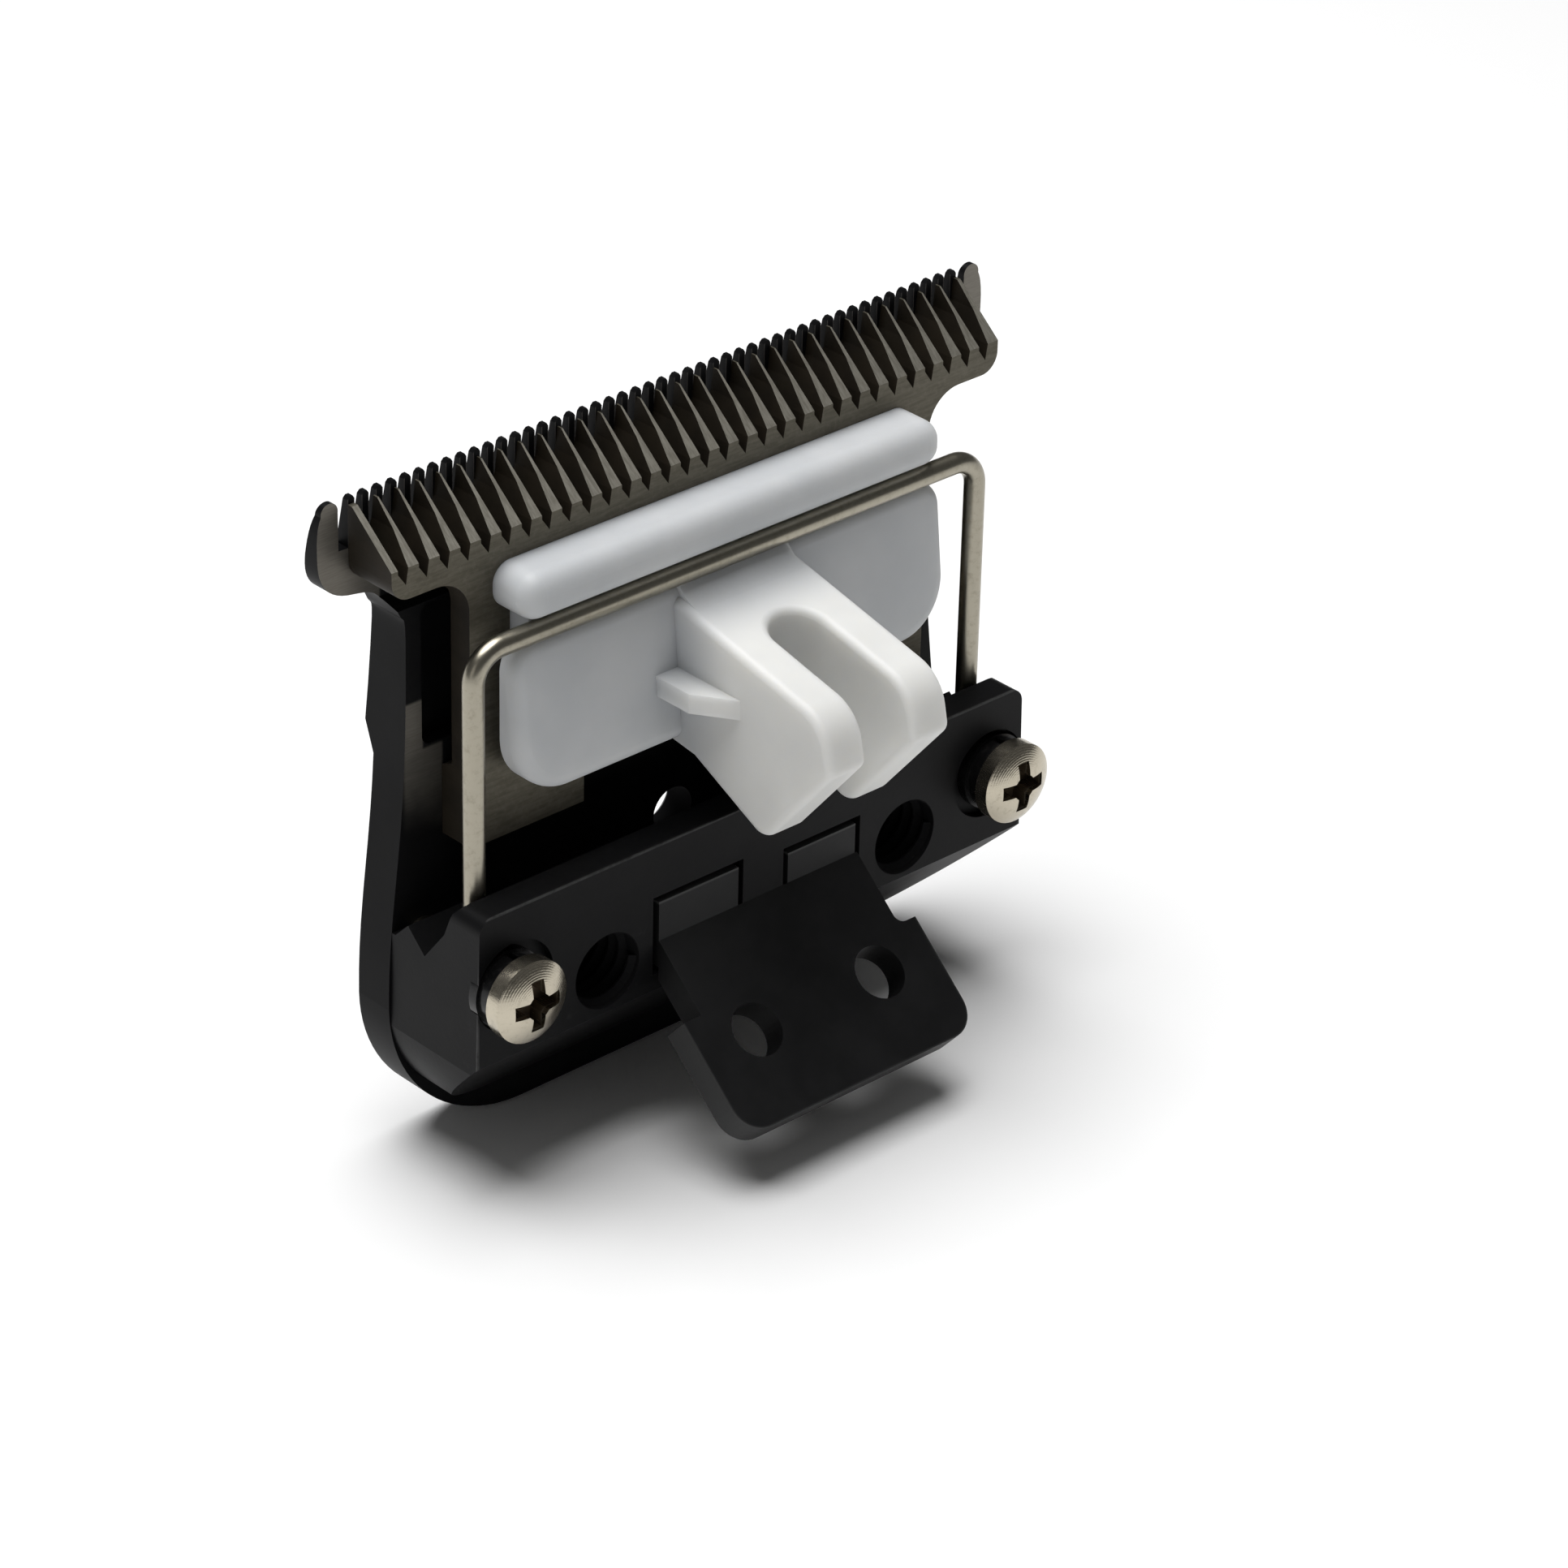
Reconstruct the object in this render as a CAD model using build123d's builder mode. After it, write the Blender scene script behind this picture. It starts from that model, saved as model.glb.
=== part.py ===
# Trimmer blade set: fixed comb, reciprocating cutter, drive block, wire spring and mounting block
import os

from build123d import *

os.makedirs("parts", exist_ok=True)

# Whole set, millimetres: X along the tooth row, Z up; the Y sizes below count from where the blades rub
tip_height = 34.2
rub_gap = 0.02

# Fixed teeth: tips with both corners cut, thinned from behind
tooth_pitch = 0.798
tooth_count = 47
tooth_width = 0.4
tooth_rise = 0.2
tooth_depth = 2.3
tooth_thickness = 0.85
tooth_tip_thickness = 0.3
tooth_tip_cut = 0.11
tooth_tip_drop = 0.16

# Fixed blade plate
back_y = 1.25
ridge_y = 1.9
ridge_top = 5.0
ridge_peak = 12.5
ridge_foot = 14.0
face_y = -0.95
face_top = 5.3
face_ramp = 0.5
base_half = 17.4
neck_half = base_half - 1.25
neck_drop = 7.6
corner_drop = 26.3
corner_radius = 8.0
pocket_half = neck_half - 0.88
pocket_top = 5.9
pocket_foot = 13.1
pocket_radius = 0.5
sight_hole_radius = 1.2
sight_hole_drop = 22.1
sight_sink_depth = 0.5

# Ears: gap to the last tooth, width, then edge points as (distance from the ear's or neck's side, drop)
ear_gap = 0.55
ear_width = 1.2
ear_edge = [(0.25, 0.35), (0.02, 1.3), (0.0, 2.3), (0.12, 3.3), (0.6, 4.12), (1.5, 4.6)]
neck_edge = [(1.5, 4.82), (0.8, 5.2), (0.28, 6.1)]

# Cutter
cutter_front = -3.0
cutter_end_gap = 0.55
cutter_end_drop = 2.95
cutter_end_radius = 1.0
arm_drop = 3.95
stem_half = pocket_half - 1.12
arm_inner = stem_half + 1.85
arm_curve = 0.55
stem_top = 6.0
stem_back = -1.7
stem_thin_top = 4.6
stem_ramp = 0.5
foot_drop = 18.0
foot_inner = 7.36
foot_arch = 14.0
pad_height = 3.6
pad_ramp = 0.3
pad_gap = 0.04
cutter_tip_y = -0.3
cutter_tip_drop = 0.16
bevel_drop = 2.4

# Gullets: one upright wall, one leaning wall with a bend at its middle (across, drop), V root
gullet_pitch = 1.183
gullet_count = 31
gullet_upright_top = 0.48
gullet_upright_root = 0.44
gullet_upright_drop = 2.6
gullet_drop = 3.22
gullet_lean_root = 0.13
gullet_lean_drop = 2.43
gullet_lean_middle = (0.5, 1.2)
gullet_lean_top = 0.64

# Drive block
bar_half = 12.8
bar_top = 3.9
bar_foot = 6.2
bar_front = -5.55
bar_radius = 1.0
groove_floor = -4.3
groove_half = bar_half - bar_radius
groove_foot = 7.36
plate_half = bar_half + 0.5
plate_lip = -4.9
plate_front = -5.75
plate_foot = 15.0
plate_top_corner = 1.3
plate_corner = 2.9
plate_edge = 0.7
plate_back_cut = 1.05
fork_half = 3.75
fork_root_y = -5.6
fork_root_drop = 7.75
fork_nose_y = -15.1
fork_nose_drop = 10.15
fork_chin_y = -15.65
fork_chin_drop = 12.7
fork_heel_y = -11.3
fork_heel_drop = 17.9
fork_under_drop = 15.2
fork_root_radius = 2.2
fork_nose_radius = 2.3
fork_chin_radius = 0.6
fork_heel_radius = 1.0
fork_edge = 0.4
fork_slot_half = 1.45
fork_slot_end = -8.0
rib_half = 5.1
rib_top = 11.25
rib_foot = 12.25
rib_bend = -7.6
rib_front = -10.2

# Wire spring
wire_diameter = 1.04
wire_y = -4.85
wire_drop = 6.8
wire_bend = 1.5
wire_foot_drop = 21.25
wire_foot_length = 3.4

# Mounting block
block_front = -7.12
block_half = base_half - 0.1
block_top_half = block_half - 0.2
block_top = 18.9
block_foot = 32.5
block_corner = 5.4
block_corner_cut = 1.84
block_bevel_top = 26.65
block_top_corner = 0.8
bar_back = -5.5
channel_back = -4.1
post_edge = [(-5.15, 19.35), (-4.65, 20.64), (-3.3, 22.36), (-2.1, 21.3), (-1.2, 22.2)]
end_block_width = 2.7
well_half = 4.0
well_drop = 23.7
case_hole_spacing = 5.92
case_hole_drop = 24.45
case_hole_radius = 1.93

# Tab and its pockets in the block's face
tongue_y = -5.95
pocket_left_outer = -6.67
pocket_left_inner = -1.05
pocket_left_top = 21.65
pocket_right_inner = 1.5
pocket_right_outer = 6.45
pocket_right_top = 22.1
tongue_side_gap = 0.3
tongue_top_gap = 0.35
tongue_foot = 25.5
tab_slope = 41.5
tab_thickness = 1.6
tab_hole_y = -11.39
tab_hole_drop = 27.84
tab_hole_x = 3.92
tab_hole_radius = 1.355
tab_neck_half = 6.3
tab_neck_end = 1.7
tab_half = 7.4
tab_reach = 4.35
tab_root = 9.0
tab_corner = 1.5
tab_notch = 0.5

# Screws and washers
screw_x = block_top_half - 1.73
screw_drop = 22.99
screw_radius = 1.0
screw_hole_gap = 0.02
wire_half = screw_x + 0.13
case_hole_x = screw_x - case_hole_spacing
end_block_inner = wire_half - end_block_width
seat_y = -6.6
seat_radius = 2.3
seat_shift = 0.35
flat_washer_thickness = 0.5
flat_washer_radius = 1.95
spring_washer_thickness = 0.85
spring_washer_radius = 1.8
washer_bore = 1.1
washer_split = 0.35
head_radius = 2.075
head_rim = 0.75
head_height = 1.3
head_crown = 0.68
cross_width = 0.72
cross_length = 2.6
cross_hub = 0.66
cross_depth = 1.1

# Working planes: the rubbing plane, its origin at the tooth tips, and the section plane across it
rub_y = -(fork_chin_y + ridge_y) / 2
front = Plane((0, rub_y, tip_height), x_dir=(1, 0, 0), z_dir=(0, -1, 0))
side = Plane((0, rub_y, tip_height), x_dir=(0, 1, 0), z_dir=(1, 0, 0))
level = Plane((0, rub_y, tip_height), x_dir=(1, 0, 0), z_dir=(0, 0, 1))
beyond = 60.0
tooth_x = [(i - (tooth_count - 1) / 2) * tooth_pitch for i in range(tooth_count)]
gullet_x = [(i - (gullet_count - 1) / 2) * gullet_pitch for i in range(gullet_count)]
tooth_row_half = tooth_x[-1] + tooth_width / 2
ear_inner = tooth_row_half + ear_gap
ear_outer = ear_inner + ear_width
ear_tip_radius = (ear_width - ear_edge[0][0]) / 2
cutter_half = ear_inner - cutter_end_gap
fork_slope = (fork_nose_drop - fork_root_drop) / (groove_floor - fork_nose_y)
fork_root_end = 2 * fork_root_y - plate_lip
channel_floor = wire_foot_drop + wire_diameter / 2

# Fixed blade: plan outline with the comb, cut to a side profile
with BuildPart() as fixed_blade:
    with BuildSketch(front.offset(-ridge_y)):
        with BuildLine():
            Line((-ear_inner, -tooth_depth), (ear_inner, -tooth_depth))
            for s in (-1, 1):
                shoulder = [(s * (ear_outer - x), -z) for x, z in ear_edge]
                shoulder += [(s * (neck_half + x), -z) for x, z in neck_edge]
                shoulder += [(s * neck_half, -neck_drop)]
                Line((s * ear_inner, -tooth_depth), (s * ear_inner, -ear_edge[0][1]))
                ThreePointArc(
                    (s * ear_inner, -ear_edge[0][1]),
                    (s * (ear_inner + ear_tip_radius), tooth_rise),
                    shoulder[0],
                )
                Spline(*shoulder, tangents=[(s * ear_edge[0][0], -ear_tip_radius), (0, -1)])
                Spline(
                    (s * neck_half, -neck_drop),
                    (s * (neck_half * 2 + base_half) / 3, -(neck_drop + corner_drop) / 2),
                    (s * base_half, -corner_drop),
                    tangents=[(0, -1), (0, -1)],
                )
                RadiusArc(
                    (s * base_half, -corner_drop),
                    (s * (base_half - corner_radius), -tip_height),
                    s * corner_radius,
                )
            Line((-(base_half - corner_radius), -tip_height), (base_half - corner_radius, -tip_height))
        make_face()
        with Locations(*[(x, 0) for x in tooth_x]):
            Polygon(
                (-tooth_width / 2, -tooth_depth),
                (tooth_width / 2, -tooth_depth),
                (tooth_width / 2, tooth_rise - tooth_tip_drop),
                (tooth_width / 2 - tooth_tip_cut, tooth_rise),
                (tooth_tip_cut - tooth_width / 2, tooth_rise),
                (-tooth_width / 2, tooth_rise - tooth_tip_drop),
                align=None,
            )
    extrude(amount=ridge_y - face_y)
    with BuildSketch(side) as comb_section:
        with BuildLine():
            Polyline(
                (0, ear_width),
                (tooth_thickness, ear_width),
                (tooth_thickness, -tooth_depth),
                (back_y, -ridge_top),
                (ridge_y, -ridge_peak),
                (back_y, -ridge_foot),
                (back_y, -tip_height),
                (face_y, -tip_height),
                (face_y, -(face_top + face_ramp)),
                (0, -face_top),
                close=True,
            )
        make_face()
    extrude(amount=beyond, both=True, mode=Mode.INTERSECT)
    with BuildSketch(side) as back_bevel:
        with BuildLine():
            Polyline(
                (tooth_tip_thickness, tooth_rise),
                (ridge_y, tooth_rise),
                (ridge_y, -tooth_depth),
                (tooth_thickness, -tooth_depth),
                close=True,
            )
        make_face()
    extrude(amount=beyond, both=True, mode=Mode.SUBTRACT)
    with BuildSketch(front.offset(-face_y)):
        with Locations((0, -(pocket_top + pocket_foot) / 2)):
            RectangleRounded(2 * pocket_half, pocket_foot - pocket_top, pocket_radius)
    extrude(amount=face_y, mode=Mode.SUBTRACT)
    with BuildSketch(front.offset(-back_y)):
        with Locations((0, -sight_hole_drop)):
            Circle(sight_hole_radius)
        with Locations((screw_x, -screw_drop), (-screw_x, -screw_drop)):
            Circle(screw_radius + screw_hole_gap)
    extrude(amount=back_y - face_y, mode=Mode.SUBTRACT)
    with BuildSketch(front.offset(-back_y)):
        with Locations((0, -sight_hole_drop)):
            Circle(sight_hole_radius + sight_sink_depth)
    extrude(amount=sight_sink_depth, taper=45, mode=Mode.SUBTRACT)
fixed_blade.part.label = "fixed_blade"
export_step(fixed_blade.part, "parts/fixed_blade.step")

# Cutter: T plan, gullets cut through, bevelled front, thinned stem and two rear pads
with BuildPart() as moving_blade:
    with BuildSketch(front.offset(rub_gap)):
        with BuildLine():
            Line((-cutter_half, -cutter_tip_drop), (cutter_half, -cutter_tip_drop))
            for s in (-1, 1):
                Line((s * cutter_half, -cutter_tip_drop), (s * cutter_half, -cutter_end_drop))
                RadiusArc(
                    (s * cutter_half, -cutter_end_drop),
                    (s * (cutter_half - cutter_end_radius), -arm_drop),
                    s * cutter_end_radius,
                )
                Line((s * (cutter_half - cutter_end_radius), -arm_drop), (s * arm_inner, -arm_drop))
                ThreePointArc(
                    (s * arm_inner, -arm_drop),
                    (s * (stem_half + arm_curve), -(arm_drop + arm_curve)),
                    (s * stem_half, -stem_top),
                )
                Line((s * stem_half, -stem_top), (s * stem_half, -foot_drop))
                Line((s * stem_half, -foot_drop), (s * foot_inner, -foot_drop))
                Line((s * foot_inner, -foot_drop), (s * foot_inner, -foot_arch))
            Line((-foot_inner, -foot_arch), (foot_inner, -foot_arch))
        make_face()
    extrude(amount=-cutter_front - rub_gap)
    with BuildSketch(side):
        with BuildLine():
            Polyline(
                (-rub_gap, 0),
                (cutter_tip_y, -cutter_tip_drop),
                (cutter_front, -bevel_drop),
                (cutter_front, -foot_drop),
                (face_y - pad_gap, -foot_drop),
                (face_y - pad_gap, -(foot_drop - pad_height)),
                (stem_back, -(foot_drop - pad_height - pad_ramp)),
                (stem_back, -(stem_thin_top + stem_ramp)),
                (-rub_gap, -stem_thin_top),
                close=True,
            )
        make_face()
    extrude(amount=beyond, both=True, mode=Mode.INTERSECT)
    with BuildSketch(front):
        with Locations(*[(x, 0) for x in gullet_x]):
            Polygon(
                (-gullet_upright_top, 0),
                (-gullet_upright_root, -gullet_upright_drop),
                (0, -gullet_drop),
                (gullet_lean_root, -gullet_lean_drop),
                (gullet_lean_middle[0], -gullet_lean_middle[1]),
                (gullet_lean_top, 0),
                align=None,
            )
    extrude(amount=-cutter_front, mode=Mode.SUBTRACT)
moving_blade.part.label = "moving_blade"
export_step(moving_blade.part, "parts/moving_blade.step")

# Drive block: rounded cross bar, plate, wire groove, then the fork with its slot and ribs
with BuildPart() as drive_block:
    with BuildSketch(level.offset(-bar_top)):
        with Locations((0, (cutter_front + bar_front) / 2)):
            Rectangle(2 * bar_half, cutter_front - bar_front)
    extrude(amount=bar_top - bar_foot)
    fillet(drive_block.edges() - drive_block.faces().sort_by(Axis.Y)[-1].edges(), bar_radius)
    with BuildSketch(front.offset(-cutter_front)):
        with BuildLine():
            FilletPolyline(
                (-plate_half, -groove_foot),
                (plate_half, -groove_foot),
                (plate_half, -plate_foot),
                (-plate_half, -plate_foot),
                close=True,
                radius=(plate_top_corner, plate_top_corner, plate_corner, plate_corner),
            )
        make_face()
    extrude(amount=cutter_front - plate_front)
    with BuildSketch(side):
        with BuildLine():
            Polyline(
                (plate_front, -groove_foot),
                (plate_lip, -groove_foot),
                (plate_front, -plate_foot),
                close=True,
            )
        make_face()
    extrude(amount=beyond, both=True, mode=Mode.SUBTRACT)
    fillet(drive_block.faces(Select.LAST).sort_by(Axis.Y)[0].edges(), plate_edge)
    chamfer(drive_block.faces().filter_by(Axis.Y).sort_by(Axis.Z)[0].edges(), plate_back_cut)
    with BuildSketch(side):
        with BuildLine():
            Polyline(
                (cutter_front, -bar_top),
                (cutter_front - bar_radius, -bar_top),
                (groove_floor, -bar_foot + bar_radius),
                (groove_floor, -groove_foot - plate_top_corner),
                (cutter_front, -groove_foot - plate_top_corner),
                close=True,
            )
        make_face()
    extrude(amount=groove_half, both=True)
    with BuildSketch(side):
        with BuildLine():
            FilletPolyline(
                (groove_floor, -fork_root_drop),
                (fork_nose_y, -fork_nose_drop),
                (fork_chin_y, -fork_chin_drop),
                (fork_heel_y, -fork_heel_drop),
                (plate_front, -fork_under_drop),
                radius=(fork_nose_radius, fork_chin_radius, fork_heel_radius),
            )
            Polyline(
                (plate_front, -fork_under_drop),
                (groove_floor, -plate_foot),
                (groove_floor, -fork_root_drop),
            )
        make_face()
    extrude(amount=fork_half, both=True)
    with BuildSketch(level.offset(-fork_heel_drop - wire_diameter)):
        with BuildLine():
            Polyline(
                (fork_slot_half, fork_slot_end - fork_slot_half),
                (fork_slot_half, fork_chin_y - wire_diameter),
                (-fork_slot_half, fork_chin_y - wire_diameter),
                (-fork_slot_half, fork_slot_end - fork_slot_half),
            )
            ThreePointArc(
                (-fork_slot_half, fork_slot_end - fork_slot_half),
                (0, fork_slot_end),
                (fork_slot_half, fork_slot_end - fork_slot_half),
            )
        make_face()
    extrude(amount=fork_heel_drop, mode=Mode.SUBTRACT)
    slot_line = rub_y + fork_slot_end - fork_slot_half
    prongs = drive_block.edges().filter_by_position(Axis.Y, slot_line - beyond, slot_line)
    prongs = prongs.filter_by_position(Axis.Z, tip_height - fork_chin_drop, tip_height)
    fillet(prongs.filter_by(Axis.X, reverse=True), fork_edge)
    with BuildSketch(side):
        with BuildLine():
            FilletPolyline(
                (plate_lip, -groove_foot),
                (fork_root_y, -fork_root_drop + (fork_root_y - groove_floor) * fork_slope),
                (fork_root_end, -fork_root_drop + (fork_root_end - groove_floor) * fork_slope),
                radius=fork_root_radius,
            )
            Polyline(
                (fork_root_end, -fork_root_drop + (fork_root_end - groove_floor) * fork_slope),
                (groove_floor, -fork_under_drop + plate_corner),
                (groove_floor, -groove_foot),
                (plate_lip, -groove_foot),
            )
        make_face()
    extrude(amount=fork_half - fork_edge, both=True)
    with BuildSketch(level.offset(-rib_top)):
        for s in (-1, 1):
            Polygon(
                (s * (fork_half - fork_edge), groove_floor),
                (s * rib_half, groove_floor),
                (s * rib_half, rib_bend),
                (s * (fork_half - fork_edge), rib_front),
                align=None,
            )
    extrude(amount=rib_top - rib_foot)
drive_block.part.label = "drive_block"
export_step(drive_block.part, "parts/drive_block.step")

# Wire spring: one bent wire, bar, two legs and inward feet
with BuildPart() as tension_spring:
    with BuildLine(front.offset(-wire_y)) as wire_path:
        FilletPolyline(
            (-(wire_half - wire_foot_length), -wire_foot_drop),
            (-wire_half, -wire_foot_drop),
            (-wire_half, -wire_drop),
            (wire_half, -wire_drop),
            (wire_half, -wire_foot_drop),
            (wire_half - wire_foot_length, -wire_foot_drop),
            radius=(0, wire_bend, wire_bend, 0),
        )
    with BuildSketch(Plane(wire_path.line @ 0, z_dir=wire_path.line % 0)):
        Circle(wire_diameter / 2)
    sweep(transition=Transition.RIGHT)
tension_spring.part.label = "tension_spring"
export_step(tension_spring.part, "parts/tension_spring.step")

# Mounting block: rounded outline cut to its side section, channel for the wire, holes and pockets
with BuildPart() as bracket:
    with BuildSketch(front.offset(-face_y)):
        with BuildLine():
            for s in (-1, 1):
                Line((0, -block_top), (s * (block_top_half - block_top_corner), -block_top))
                RadiusArc(
                    (s * (block_top_half - block_top_corner), -block_top),
                    (s * block_top_half, -(block_top + block_top_corner)),
                    s * block_top_corner,
                )
                Line(
                    (s * block_top_half, -(block_top + block_top_corner)),
                    (s * block_half, block_corner - block_foot),
                )
                ThreePointArc(
                    (s * block_half, block_corner - block_foot),
                    (s * (block_half - block_corner_cut), block_corner_cut - block_foot),
                    (s * (block_half - block_corner), -block_foot),
                )
                Line((s * (block_half - block_corner), -block_foot), (0, -block_foot))
        make_face()
    extrude(amount=face_y - block_front)
    with BuildSketch(side):
        with BuildLine():
            Polyline(
                (block_front, -block_top),
                (bar_back, -block_top),
                *[(y, -z) for y, z in post_edge],
                (face_y, -post_edge[-1][1]),
                (face_y, -block_foot),
                (block_front + block_foot - block_bevel_top, -block_foot),
                (block_front, -block_bevel_top),
                close=True,
            )
        make_face()
    extrude(amount=beyond, both=True, mode=Mode.INTERSECT)
    with BuildSketch(front.offset(-channel_back)):
        with Locations((0, -channel_floor)):
            Rectangle(2 * (wire_half + wire_diameter), channel_floor, align=(Align.CENTER, Align.MIN))
    extrude(amount=channel_back - bar_back, mode=Mode.SUBTRACT)
    with BuildSketch(front.offset(-face_y)):
        with Locations((0, -channel_floor)):
            Rectangle(2 * end_block_inner, channel_floor, align=(Align.CENTER, Align.MIN))
        with Locations((0, -well_drop)):
            Rectangle(2 * well_half, well_drop, align=(Align.CENTER, Align.MIN))
    extrude(amount=face_y - bar_back, mode=Mode.SUBTRACT)
    with BuildSketch(front.offset(-face_y)):
        with Locations((-case_hole_x, -case_hole_drop), (case_hole_x, -case_hole_drop)):
            Circle(case_hole_radius)
        with Locations((-screw_x, -screw_drop), (screw_x, -screw_drop)):
            Circle(screw_radius + screw_hole_gap)
    extrude(amount=face_y - block_front, mode=Mode.SUBTRACT)
    with BuildSketch(front.offset(-seat_y)):
        for s in (-1, 1):
            with Locations((s * (screw_x - seat_shift), -screw_drop)):
                Circle(seat_radius)
    extrude(amount=seat_y - block_front, mode=Mode.SUBTRACT)
    with BuildSketch(front.offset(-tongue_y)):
        with Locations((pocket_left_outer, -(tongue_foot + tongue_side_gap))):
            Rectangle(
                pocket_left_inner - pocket_left_outer,
                tongue_foot + tongue_side_gap - pocket_left_top,
                align=(Align.MIN, Align.MIN),
            )
        with Locations((pocket_right_inner, -(tongue_foot + tongue_side_gap))):
            Rectangle(
                pocket_right_outer - pocket_right_inner,
                tongue_foot + tongue_side_gap - pocket_right_top,
                align=(Align.MIN, Align.MIN),
            )
    extrude(amount=tongue_y - block_front, mode=Mode.SUBTRACT)
bracket.part.label = "bracket"
export_step(bracket.part, "parts/bracket.step")

# Mounting tab: sloped plate from the block's face, held by two tongues in the pockets
slope = Plane(
    (0, rub_y + tab_hole_y, tip_height - tab_hole_drop),
    x_dir=(1, 0, 0),
    z_dir=Vector(0, -1, 0).rotate(Axis.X, tab_slope - 90),
)
with BuildPart() as mounting_tab:
    with BuildSketch(slope) as tab_plan:
        with Locations((0, tab_neck_end)):
            Rectangle(2 * tab_neck_half, tab_root - tab_neck_end, align=(Align.CENTER, Align.MIN))
        with Locations((0, -tab_reach)):
            Rectangle(2 * tab_half, tab_reach + tab_neck_end, align=(Align.CENTER, Align.MIN))
        fillet(tab_plan.vertices().group_by(Axis.Y)[0], tab_corner)
        fillet(tab_plan.vertices().group_by(Axis.Y)[-2].sort_by(Axis.X)[-2], tab_notch)
        with Locations((-tab_hole_x, 0), (tab_hole_x, 0)):
            Circle(tab_hole_radius, mode=Mode.SUBTRACT)
    extrude(amount=-tab_thickness)
    with BuildSketch(front.offset(-block_front)):
        with Locations((0, -beyond / 2)):
            Rectangle(beyond, beyond)
    extrude(amount=-beyond, mode=Mode.SUBTRACT)
    with BuildSketch(front.offset(-tongue_y)):
        with Locations((pocket_left_inner - tongue_side_gap, -tongue_foot)):
            Rectangle(
                pocket_left_inner + tab_neck_half - tongue_side_gap,
                tongue_foot - pocket_left_top - tongue_top_gap,
                align=(Align.MAX, Align.MIN),
            )
        with Locations((pocket_right_inner + tongue_side_gap, -tongue_foot)):
            Rectangle(
                pocket_right_outer - pocket_right_inner - 2 * tongue_side_gap,
                tongue_foot - pocket_right_top - tongue_top_gap,
                align=(Align.MIN, Align.MIN),
            )
    extrude(amount=tongue_y - block_front)
mounting_tab.part.label = "mounting_tab"
export_step(mounting_tab.part, "parts/mounting_tab.step")

# Screws: shank, pan head and cross recess
head_y = seat_y - flat_washer_thickness - spring_washer_thickness
with BuildPart() as screw_left:
    with BuildSketch(level.offset(-screw_drop)):
        with BuildLine():
            Polyline(
                (-screw_x, head_y - head_height),
                (-screw_x, back_y),
                (-screw_x + screw_radius, back_y),
                (-screw_x + screw_radius, head_y),
                (-screw_x + head_radius, head_y),
                (-screw_x + head_radius, head_y - head_rim),
            )
            ThreePointArc(
                (-screw_x + head_radius, head_y - head_rim),
                (
                    -screw_x + head_radius * head_crown,
                    head_y - head_rim - (head_height - head_rim) * head_crown,
                ),
                (-screw_x, head_y - head_height),
            )
        make_face()
    revolve(axis=Axis((-screw_x, rub_y, tip_height - screw_drop), (0, 1, 0)))
    with BuildSketch(front.offset(-(head_y - head_height + cross_depth))):
        with Locations((-screw_x, -screw_drop)):
            Rectangle(cross_width, cross_length)
            Rectangle(cross_length, cross_width)
            Circle(cross_hub)
    extrude(amount=head_height, mode=Mode.SUBTRACT)
screw_left.part.label = "screw_left"
export_step(screw_left.part, "parts/screw_left.step")

with BuildPart() as screw_right:
    add(screw_left.part.moved(Location((2 * screw_x, 0, 0))))
screw_right.part.label = "screw_right"
export_step(screw_right.part, "parts/screw_right.step")

# Flat washers on the block's seats
with BuildPart() as flat_washer_left:
    with BuildSketch(front.offset(-seat_y)):
        with Locations((-screw_x, -screw_drop)):
            Circle(flat_washer_radius)
            Circle(washer_bore, mode=Mode.SUBTRACT)
    extrude(amount=flat_washer_thickness)
flat_washer_left.part.label = "flat_washer_left"
export_step(flat_washer_left.part, "parts/flat_washer_left.step")

with BuildPart() as flat_washer_right:
    add(flat_washer_left.part.moved(Location((2 * screw_x, 0, 0))))
flat_washer_right.part.label = "flat_washer_right"
export_step(flat_washer_right.part, "parts/flat_washer_right.step")

# Split spring washers under the heads
with BuildPart() as spring_washer_left:
    with BuildSketch(front.offset(flat_washer_thickness - seat_y)):
        with Locations((-screw_x, -screw_drop)):
            Circle(spring_washer_radius)
            Circle(washer_bore, mode=Mode.SUBTRACT)
        with Locations((-screw_x, -screw_drop)):
            Rectangle(washer_split, beyond / 10, align=(Align.CENTER, Align.MIN), mode=Mode.SUBTRACT)
    extrude(amount=spring_washer_thickness)
spring_washer_left.part.label = "spring_washer_left"
export_step(spring_washer_left.part, "parts/spring_washer_left.step")

with BuildPart() as spring_washer_right:
    add(spring_washer_left.part.moved(Location((2 * screw_x, 0, 0))))
spring_washer_right.part.label = "spring_washer_right"
export_step(spring_washer_right.part, "parts/spring_washer_right.step")
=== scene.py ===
import math

import bmesh
import bpy
from mathutils import Matrix, Vector


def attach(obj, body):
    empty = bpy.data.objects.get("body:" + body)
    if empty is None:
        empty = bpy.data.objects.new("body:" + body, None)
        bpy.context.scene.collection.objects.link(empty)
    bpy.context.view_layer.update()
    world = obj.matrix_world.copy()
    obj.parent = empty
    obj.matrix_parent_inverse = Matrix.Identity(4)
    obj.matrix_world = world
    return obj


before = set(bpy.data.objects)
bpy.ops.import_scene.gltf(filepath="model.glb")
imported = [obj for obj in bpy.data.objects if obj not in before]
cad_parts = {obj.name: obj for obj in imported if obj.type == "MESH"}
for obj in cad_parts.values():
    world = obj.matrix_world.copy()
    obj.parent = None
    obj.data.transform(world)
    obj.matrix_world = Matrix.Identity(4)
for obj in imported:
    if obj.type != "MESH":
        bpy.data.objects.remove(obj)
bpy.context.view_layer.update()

MM = 0.001

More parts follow.
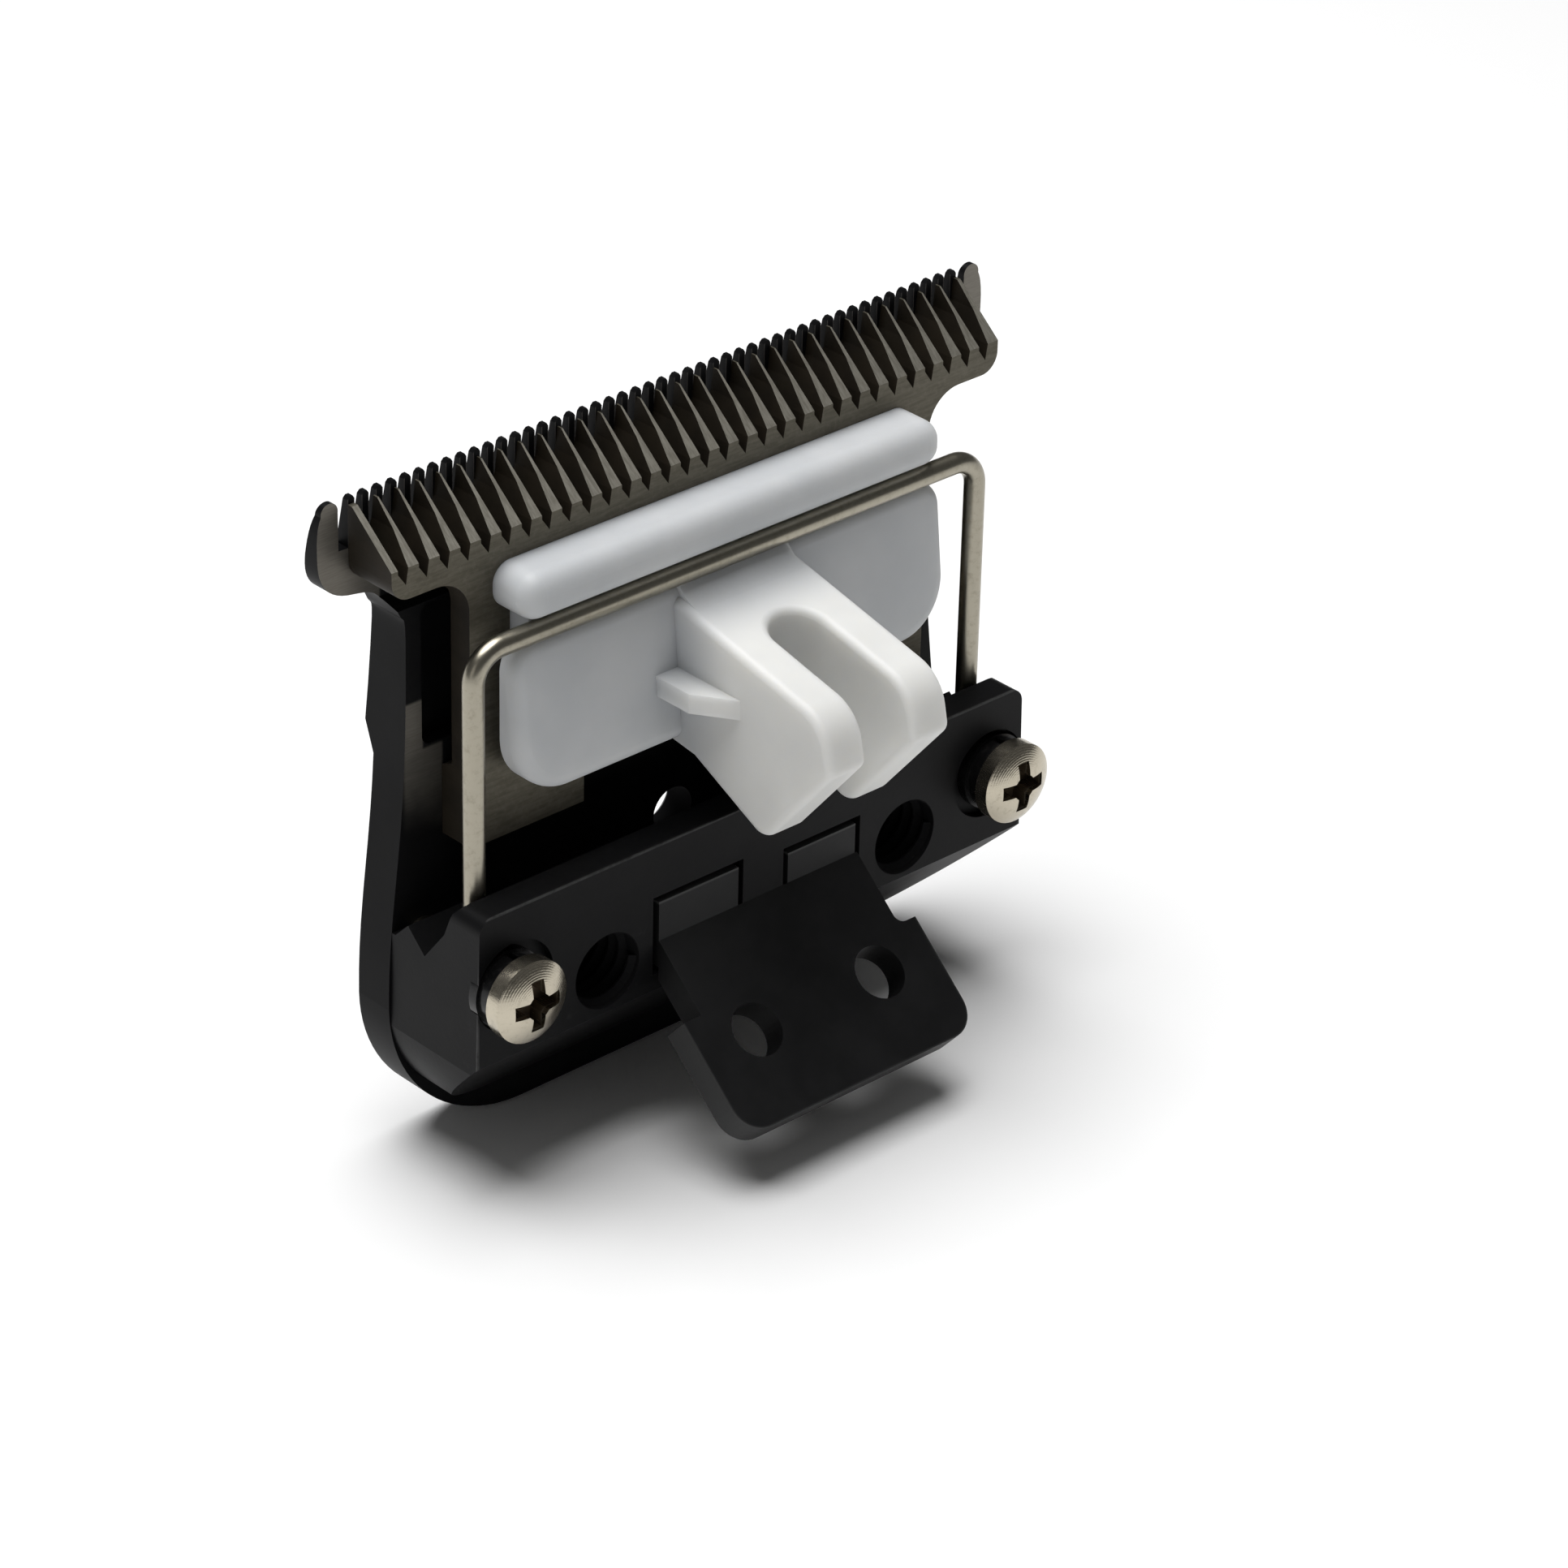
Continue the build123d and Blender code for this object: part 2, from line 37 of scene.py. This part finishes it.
# Places below are in millimetres, as in the part's source: X from the middle tooth along the row,
# Y from the plane on which the cutter rubs, Z from the tooth tips. In the row's frame that plane
# and the tips lie here.
RUB_Y = 6.875
TIP_Z = 34.2

TOOTH_PITCH = 0.798
LAST_TOOTH_X = 18.8
SCREW_X, SCREW_Z = 15.37, -22.99
TAB_MIDDLE_Y, TAB_MIDDLE_Z, TAB_SLOPE = -11.39, -27.84, math.radians(41.5)
# The radii reach just past the holes' walls
CASE_HOLE_X, CASE_HOLE_Z, CASE_HOLE_RADIUS = 9.45, -24.45, 1.95
SIGHT_HOLE_Z, SIGHT_HOLE_RADIUS = -22.1, 1.28
# Just inside the mounting block's front face, top and ends
BLOCK_FRONT_Y, BLOCK_TOP_Z, BLOCK_END_X = -7.0, -19.02, 17.1


def place(x, y, z):
    """A place in millimetres, turned into metres in the row's frame."""
    return Vector((x * MM, (y + RUB_Y) * MM, (z + TIP_Z) * MM))


# Shader maths

class Value:
    """A shader socket that takes part in ordinary expressions."""

    def __init__(self, paint, socket):
        self.paint, self.socket = paint, socket

    def __add__(self, other):
        return self.paint.calc("ADD", self, other)

    def __sub__(self, other):
        return self.paint.calc("SUBTRACT", self, other)

    def __rsub__(self, other):
        return self.paint.calc("SUBTRACT", other, self)

    def __mul__(self, other):
        return self.paint.calc("MULTIPLY", self, other)

    __radd__, __rmul__ = __add__, __mul__

    def __neg__(self):
        return self * -1.0

    def __abs__(self):
        return self.paint.calc("ABSOLUTE", self)

    def __lt__(self, other):
        return self.paint.calc("LESS_THAN", self, other)

    def over(self, low, high):
        """Goes smoothly from 0 at low to 1 at high, where low may be the larger of the two."""
        return self.paint.make(
            "ShaderNodeMapRange", {"interpolation_type": "SMOOTHSTEP"}, "Result",
            Value=self, **{"From Min": low, "From Max": high},
        )


class Paint:
    """One material and the nodes that make it, with x, y and z for places in millimetres."""

    def __init__(self, name):
        self.material = bpy.data.materials.new(name)
        self.material.use_nodes = True
        self.tree = self.material.node_tree
        self.shader = self.tree.nodes["Principled BSDF"]
        self.coords = self.make("ShaderNodeTexCoord", {}, "Object")
        x, y, z = self.split(self.coords)
        self.x = x * (1 / MM)
        self.y = y * (1 / MM) - RUB_Y
        self.z = z * (1 / MM) - TIP_Z

    def feed(self, socket, value):
        """Links a value to a socket, or sets a number or colour on it."""
        if isinstance(value, Value):
            self.tree.links.new(value.socket, socket)
        elif socket.type == "RGBA":
            socket.default_value = (*value, 1)
        else:
            socket.default_value = value

    def make(self, kind, settings, output, *values, **named):
        """Adds a node, its sockets fed in order or by name, and gives one of its outputs."""
        node = self.tree.nodes.new(kind)
        for key, value in settings.items():
            setattr(node, key, value)
        for key, value in [*enumerate(values), *named.items()]:
            if value is not None:
                self.feed(node.inputs[key], value)
        return Value(self, node.outputs[output])

    def calc(self, operation, *values):
        """The result of one Math node."""
        return self.make("ShaderNodeMath", {"operation": operation}, 0, *values)

    def split(self, vector):
        """A vector's X, Y and Z."""
        first = self.make("ShaderNodeSeparateXYZ", {}, 0, vector)
        return [Value(self, socket) for socket in first.socket.node.outputs]

    def normal_parts(self):
        """The surface normal's X, Y and Z."""
        return self.split(self.make("ShaderNodeNewGeometry", {}, "Normal"))

    def mix(self, factor, a, b):
        """Colour a where the factor is 0, colour b where it is 1."""
        not_colours = [None] * 5
        return self.make(
            "ShaderNodeMix", {"data_type": "RGBA"}, 2, factor, *not_colours, a, b,
        )

    def stretched(self, x, y, z, turn=(0, 0, 0)):
        """Places for a pattern that is squeezed this many times in each direction."""
        return self.make(
            "ShaderNodeMapping", {}, "Vector",
            Vector=self.coords, Scale=(x, y, z), Rotation=turn,
        )

    def noise(self, scale, detail, rough=0.55, where=None):
        """Noise with this many lumps to the metre."""
        return self.make(
            "ShaderNodeTexNoise", {}, 0,
            Vector=where or self.coords, Scale=scale, Detail=detail, Roughness=rough,
        )

    def length(self, a, b):
        """The length of a line with these two parts at a right angle."""
        return self.calc("SQRT", a * a + b * b)

    def from_axis(self, x, z):
        """Distance from an axis along Y, in millimetres."""
        return self.length(self.x - x, self.z - z)

    def within(self, x, z, radius):
        """1 inside a round hole along Y, 0 outside."""
        return self.from_axis(x, z).over(radius + 0.02, radius)

    def bump(self, height, depth):
        """A normal for this height, which runs from 0 to 1, and its depth in millimetres."""
        return self.make(
            "ShaderNodeBump", {}, "Normal", Height=height, Distance=depth * MM, Strength=1.0,
        )

    def finish(self, **sockets):
        """Feeds the shader, with spaces for the underscores of its sockets' names."""
        for key, value in sockets.items():
            self.feed(self.shader.inputs[key.replace("_", " ")], value)
        return self.material


def either(a, b):
    """1 where one or both of two masks are 1."""
    return 1.0 - (1.0 - a) * (1.0 - b)


def grey(tone):
    return (tone, tone, tone)


# Finishes

def black_plate_finish():
    """Black coat on the fixed blade, bare ground steel on the ears and the side lands, with painted
    shade on the ears near the cutter and on the lower lands, and a painted highlight along the
    teeth's sides.
    """
    p = Paint("black_plate")
    _, normal_y, _ = p.normal_parts()
    grain = p.noise(5000, 4)
    cloud = p.noise(260, 3)
    lines = p.noise(900, 3, 0.7, p.stretched(1, 1, 14))
    front = (-normal_y).over(0.75, 0.95)
    side = abs(p.x)
    down = -p.z

    # The ears are bare from further out beside the teeth than below them
    beside_teeth = p.z.over(-2.6, -2.0)
    ear_start = 16.75 + 1.8 * beside_teeth
    ear = front * p.y.over(-0.12, -0.04) * (side - ear_start).over(0.0, 0.25)
    # Painted shade darkens the ears' bare steel near the cutter
    painted_shade_near_cutter = side.over(19.35, 17.35)

    # The side lands are a narrow strip at the top and wider below, and give way downwards to the
    # black coat as painted shade, for the lower lands lie in shadow
    strip = side.over(15.15, 15.3) * down.over(10.6, 10.8)
    wide = side.over(14.0, 14.2) * (down + cloud * 0.3).over(13.3, 13.5)
    steel_giving_way_to_painted_shade = (down + cloud * 5.0).over(20.5, 13.5) * 0.75
    recessed = front * p.y.over(-0.83, -0.91) * side.over(16.5, 16.2)
    steel = either(ear, recessed * steel_giving_way_to_painted_shade * either(strip, wide))

    # Painted highlight along both sides of each tooth, where the rounded edges catch the light
    in_pitch = p.calc("FRACT", p.x * (1 / TOOTH_PITCH) + 0.5)
    from_tooth = abs(in_pitch - 0.5) * TOOTH_PITCH
    on_teeth = p.z.over(-2.25, -2.15) * side.over(LAST_TOOTH_X, LAST_TOOTH_X - 0.1)
    painted_edge_highlight = from_tooth.over(0.14, 0.19) * front * on_teeth

    coat = p.mix(cloud.over(0.35, 0.7), (0.0045, 0.0045, 0.005), (0.0075, 0.0075, 0.008))
    coat_with_painted_highlight = p.mix(painted_edge_highlight * 0.6, coat, (0.16, 0.15, 0.14))
    bare = p.mix(lines.over(0.3, 0.7), (0.165, 0.153, 0.132), (0.20, 0.187, 0.162))
    bare_with_painted_shade = p.mix(ear * painted_shade_near_cutter * 0.6, bare, grey(0.02))
    sight_hole = p.within(0, SIGHT_HOLE_Z, SIGHT_HOLE_RADIUS)
    return p.finish(
        Base_Color=p.mix(steel, coat_with_painted_highlight, bare_with_painted_shade),
        Metallic=steel * 0.85,
        Roughness=0.4 + cloud * 0.1 - steel * 0.04 + lines * steel * 0.06 + sight_hole * 0.4,
        Specular_IOR_Level=0.06,
        Normal=p.bump(grain * 0.6 + lines * steel * 0.3, 0.003),
    )


def cutter_finish():
    """Dark ground steel; the bevelled lands are brighter, partly ground and partly painted light,
    and the side walls and gullets are near black with painted shade.
    """
    p = Paint("dark_ground_steel")
    normal_x, normal_y, normal_z = p.normal_parts()
    cloud = p.noise(420, 4, 0.6)
    speck = p.noise(3800, 3, 0.7)
    cross = p.noise(700, 4, 0.65, p.stretched(1, 1, 9))
    along = p.noise(1500, 3, 0.7, p.stretched(6, 1, 1))
    upward, forward = normal_z.over(0.45, 0.65), (-normal_y).over(0.4, 0.6)
    land = upward * forward * p.z.over(-2.9, -2.7)
    flank = abs(normal_x).over(0.3, 0.6)
    face = p.mix(cross.over(0.3, 0.7), (0.092, 0.084, 0.064), (0.132, 0.122, 0.096))
    worn = p.mix(speck.over(0.45, 0.75) * 0.4, face, (0.17, 0.155, 0.125))
    # The lands' lighter tone is partly their ground steel and partly painted light, for they face
    # up towards the lamp
    bright = p.mix(along.over(0.3, 0.7), (0.27, 0.255, 0.215), (0.40, 0.38, 0.325))
    # Painted shade: the side walls and gullet walls, picked by facing sideways, are near black
    dull = p.mix(cloud.over(0.3, 0.7), (0.010, 0.0075, 0.0045), (0.018, 0.0135, 0.008))
    return p.finish(
        Base_Color=p.mix(flank, p.mix(land, worn, bright), dull),
        Metallic=0.9 - flank * 0.8,
        Roughness=0.46 + cross * 0.12 - land * 0.08 + flank * 0.1,
        Specular_IOR_Level=0.2,
        Normal=p.bump(cross * (1.0 - land) + along * land + speck * 0.4, 0.004),
    )


def milky_plastic_finish():
    """White moulded plastic, greyer where it is thin over the steel, warmer in the thick fork; the
    grey is partly painted shade on the plate's front and the fork's lighter tone partly painted
    light.
    """
    p = Paint("milky_plastic")
    cloud = p.noise(180, 3)
    peel = p.noise(1400, 2)
    # The thin tone is partly painted shade and the thick tone partly painted light, for the plate's
    # front faces away from the lamp and the fork's top faces it
    thin = p.mix(cloud.over(0.3, 0.7), (0.48, 0.495, 0.51), (0.54, 0.55, 0.56))
    thick = p.mix(cloud.over(0.3, 0.7), (0.66, 0.66, 0.645), (0.71, 0.71, 0.69))
    out_to_fork = (p.y + cloud * 1.5).over(-4.8, -8.5)
    return p.finish(
        Base_Color=p.mix(out_to_fork, thin, thick),
        Roughness=0.42 + cloud * 0.1,
        Subsurface_Weight=0.6,
        Subsurface_Radius=(1.0, 0.95, 0.85),
        Subsurface_Scale=2 * MM,
        Specular_IOR_Level=0.35,
        Normal=p.bump(peel, 0.006),
    )


def wire_finish():
    """Drawn nickelled wire, warm, with fine lines along it and dull specks."""
    p = Paint("drawn_wire")
    speck = p.noise(2600, 4, 0.7)
    draw = p.noise(2600, 2, 0.6, p.stretched(0.12, 1, 0.12))
    return p.finish(
        Base_Color=p.mix(speck.over(0.45, 0.8), (0.34, 0.315, 0.255), (0.26, 0.24, 0.19)),
        Metallic=1.0,
        Roughness=0.24 + speck * 0.08 + draw * 0.04,
        Normal=p.bump(draw, 0.001),
    )


def black_moulding_finish():
    """Black satin moulding, with a painted highlight along the top and end edges of its front face.
    """
    p = Paint("black_moulding")
    grain = p.noise(4200, 3)
    cloud = p.noise(300, 4)
    rub_and_sheen_noise = p.noise(900, 5, 0.7)
    holes = (p.within(-CASE_HOLE_X, CASE_HOLE_Z, CASE_HOLE_RADIUS)
             + p.within(CASE_HOLE_X, CASE_HOLE_Z, CASE_HOLE_RADIUS))
    coat = p.mix(rub_and_sheen_noise.over(0.62, 0.8), (0.005, 0.005, 0.0055), (0.012, 0.012, 0.0125))
    # Painted highlight along the front face's top and end edges, standing in for light on their
    # rounding; the noise also gives the coat its lighter rubbed patches
    top = p.z.over(BLOCK_TOP_Z, BLOCK_TOP_Z + 0.06)
    end = abs(p.x).over(BLOCK_END_X, BLOCK_END_X + 0.1)
    painted_front_edge_highlight = p.calc("MAXIMUM", top, end) * p.y.over(BLOCK_FRONT_Y, BLOCK_FRONT_Y - 0.06)
    return p.finish(
        Base_Color=p.mix(painted_front_edge_highlight * rub_and_sheen_noise.over(0.2, 0.6), coat, grey(0.045)),
        Roughness=0.4 + cloud * 0.14 + holes * 0.3,
        Specular_IOR_Level=0.1,
        Normal=p.bump(grain, 0.005),
    )


def black_sheet_finish():
    """Black coated sheet of the tab, faintly clouded, with painted highlights round its edge and on
    the tongues.
    """
    p = Paint("black_sheet")
    grain = p.noise(4800, 3)
    cloud = p.noise(340, 3, 0.6)
    coat = p.mix(cloud.over(0.35, 0.7), (0.0065, 0.0065, 0.007), (0.010, 0.010, 0.0105))

    # The left tongue ends higher than the right one
    right_end_z, left_rise = -22.55, 0.45
    from_tongue_end = p.z - right_end_z - (p.x < 0.0) * left_rise
    # Painted highlight on the tongues above their ends
    painted_tongue_highlight = from_tongue_end.over(-0.05, 0.05) * p.y.over(-7.25, -7.15)

    # A painted highlight follows the sheet's sides and end, and its corners, which are round about
    # here
    corner_x, corner_down = 5.9, 2.85
    up_slope = ((p.y - TAB_MIDDLE_Y) * math.cos(TAB_SLOPE)
                + (p.z - TAB_MIDDLE_Z) * math.sin(TAB_SLOPE))
    past_side = p.calc("MAXIMUM", abs(p.x) - corner_x, 0.0)
    past_end = p.calc("MAXIMUM", -up_slope - corner_down, 0.0)
    painted_edge_highlight = p.length(past_side, past_end).over(1.4, 1.48) * up_slope.over(1.72, 1.66)
    return p.finish(
        Base_Color=p.mix(painted_edge_highlight * 0.6, p.mix(painted_tongue_highlight, coat, grey(0.05)), grey(0.05)),
        Roughness=0.4 + cloud * 0.12,
        Specular_IOR_Level=0.2,
        Normal=p.bump(grain, 0.004),
    )


def nickel_finish(name, centre_x):
    """Bright nickel with turned rings round the head, dull specks, a few scratches and painted
    shade in the cross.
    """
    p = Paint(name)
    far = p.from_axis(centre_x, SCREW_Z)
    # Painted shade in the cross, between the head's face and its back
    painted_cross_shade = p.y.over(-9.02, -8.88) * p.y.over(-8.0, -8.05) * far.over(1.42, 1.37)
    rings = p.calc("SINE", far * 60.0)
    scratch = p.noise(1500, 3, 0.7, p.stretched(1, 1, 7, turn=(0, 0.7, 0)))
    speck = p.noise(3000, 3, 0.7)
    nickel = p.mix(speck.over(0.5, 0.8), (0.50, 0.455, 0.365), (0.36, 0.325, 0.26))
    return p.finish(
        Base_Color=p.mix(painted_cross_shade, nickel, (0.10, 0.075, 0.05)),
        Metallic=1.0 - painted_cross_shade * 0.5,
        Roughness=0.16 + scratch * 0.16,
        Normal=p.bump(rings * 0.3 + scratch, 0.006),
    )


def black_oxide_finish():
    """Black oxide of the washers, worn to a brown grey in specks."""
    p = Paint("black_oxide")
    grain = p.noise(3600, 3)
    return p.finish(
        Base_Color=p.mix(grain.over(0.5, 0.75), (0.010, 0.010, 0.0105), (0.03, 0.029, 0.028)),
        Metallic=0.6,
        Roughness=0.2 + grain * 0.1,
        Normal=p.bump(grain, 0.004),
    )


def floor_finish():
    """Pale floor that stays white out of the lamps' reach."""
    p = Paint("pale_floor")
    cloud = p.noise(6, 2)
    far_off = p.length(p.x, p.y).over(160.0, 650.0)
    return p.finish(
        Base_Color=p.mix(cloud, grey(0.93), grey(0.94)),
        Emission_Color=p.mix(far_off, grey(0.0), grey(0.9)),
        Emission_Strength=1.0,
        Roughness=0.9,
        Specular_IOR_Level=0.1,
    )


finishes = {
    "fixed_blade": black_plate_finish(),
    "moving_blade": cutter_finish(),
    "drive_block": milky_plastic_finish(),
    "tension_spring": wire_finish(),
    "bracket": black_moulding_finish(),
    "mounting_tab": black_sheet_finish(),
    "screw_left": nickel_finish("bright_nickel_left", -SCREW_X),
    "screw_right": nickel_finish("bright_nickel_right", SCREW_X),
}
oxide = black_oxide_finish()
for name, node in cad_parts.items():
    for slot in node.material_slots:
        slot.material = finishes.get(name, oxide)


# Pieces added to the solids

def add_object(name, data):
    """Puts an object of the given mesh, lamp or camera in the scene."""
    made = bpy.data.objects.new(name, data)
    bpy.context.scene.collection.objects.link(made)
    return made


def add_mesh(name, shape, finish):
    """Makes an object of a finished bmesh."""
    mesh = bpy.data.meshes.new(name)
    shape.to_mesh(mesh)
    shape.free()
    mesh.materials.append(finish)
    return add_object(name, mesh)


def piece(name, shape, finish, body):
    """Makes an object of a finished bmesh and lets it ride on a body."""
    made = add_mesh(name, shape, finish)
    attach(made, body)


def hole_thread(name, centre_x):
    """The thread's ridge in a case hole: a small blunt profile spun inwards as a helix."""
    crest_radius, pitch, turns, steps_per_turn = 1.68, 0.7, 8, 24
    root_half, crest_half = 0.3, 0.04
    start_y = BLOCK_FRONT_Y + pitch / 2
    middle = place(centre_x, 0, CASE_HOLE_Z)
    profile = [
        (CASE_HOLE_RADIUS, -root_half), (crest_radius, -crest_half),
        (crest_radius, crest_half), (CASE_HOLE_RADIUS, root_half),
    ]
    shape = bmesh.new()
    points = [shape.verts.new(place(centre_x + r, start_y + y, CASE_HOLE_Z)) for r, y in profile]
    edges = [shape.edges.new(pair) for pair in zip(points, points[1:])]
    bmesh.ops.spin(
        shape, geom=points + edges, cent=middle, axis=(0, 1, 0),
        dvec=(0, pitch * MM / steps_per_turn, 0), angle=math.tau * turns,
        steps=steps_per_turn * turns, use_merge=False, use_duplicate=False,
    )

    # The ridge's faces point to the hole's axis
    bmesh.ops.recalc_face_normals(shape, faces=shape.faces)
    inward = 0.0
    for face in shape.faces:
        to_axis = middle - face.calc_center_median()
        to_axis.y = 0.0
        inward += face.normal.dot(to_axis)
    if inward < 0:
        bmesh.ops.reverse_faces(shape, faces=shape.faces)
    piece(name, shape, finishes["bracket"], "base")


hole_thread("case_thread_left", -CASE_HOLE_X)
hole_thread("case_thread_right", CASE_HOLE_X)


# Floor, light and camera

FLOOR_HALF_WIDTH = 3.0
FLOOR_DROP = 0.2 * MM
LAMP_AIM = Vector((0, 0, 18 * MM))
WORLD_STRENGTH = 0.10

floor_shape = bmesh.new()
bmesh.ops.create_grid(floor_shape, x_segments=1, y_segments=1, size=FLOOR_HALF_WIDTH)
bmesh.ops.translate(floor_shape, verts=floor_shape.verts, vec=(0, 0, -FLOOR_DROP))
floor = add_mesh("floor", floor_shape, floor_finish())


def soft_light(name, at, size, power, colour):
    """A round lamp that faces the object, its place and size in metres, its power in watts."""
    data = bpy.data.lights.new(name, "AREA")
    data.shape, data.size, data.energy, data.color = "DISK", size, power, colour
    lamp = add_object(name, data)
    lamp.location = at
    lamp.rotation_mode = "QUATERNION"
    lamp.rotation_quaternion = (LAMP_AIM - Vector(at)).to_track_quat("-Z", "Y")


soft_light("top_softbox", (-0.03, 0.07, 0.42), size=0.42, power=2.5, colour=grey(1.0))
soft_light("left_fill", (-0.42, -0.10, 0.16), size=0.24, power=0.08, colour=(1.0, 0.98, 0.95))

world = bpy.data.worlds.new("studio")
world.use_nodes = True
background = world.node_tree.nodes["Background"]
background.inputs["Color"].default_value = (*grey(1.0), 1)
background.inputs["Strength"].default_value = WORLD_STRENGTH
bpy.context.scene.world = world
bpy.context.scene.view_settings.view_transform = "Standard"

# The photograph's camera: its focal length in the photograph's pixels, its angles, and the
# distances in millimetres that it stands back, to the right and up from the middle tooth's tip
PHOTO_PIXELS = 1932
FOCAL_PIXELS = 7132.4
SENSOR_WIDTH = 36
STAND_BACK, STAND_RIGHT, STAND_UP = 264.598, 5.468, -18.345
azimuth, elevation, roll = math.radians(-43.295), math.radians(29.651), math.radians(1.414)

back = Vector((
    math.sin(azimuth) * math.cos(elevation),
    -math.cos(azimuth) * math.cos(elevation),
    math.sin(elevation),
))
level = Vector((math.cos(azimuth), math.sin(azimuth), 0))
upright = back.cross(level)
right = level * math.cos(roll) + upright * math.sin(roll)
up = upright * math.cos(roll) - level * math.sin(roll)
eye = back * STAND_BACK + right * STAND_RIGHT + up * STAND_UP

camera_data = bpy.data.cameras.new("camera")
camera_data.sensor_width = SENSOR_WIDTH
camera_data.lens = FOCAL_PIXELS / PHOTO_PIXELS * SENSOR_WIDTH
camera_data.clip_start, camera_data.clip_end = 0.01, 10
camera = add_object("camera", camera_data)
turn = Matrix((right, up, back)).transposed()
camera.matrix_world = Matrix.Translation(place(*eye)) @ turn.to_4x4()
bpy.context.scene.camera = camera
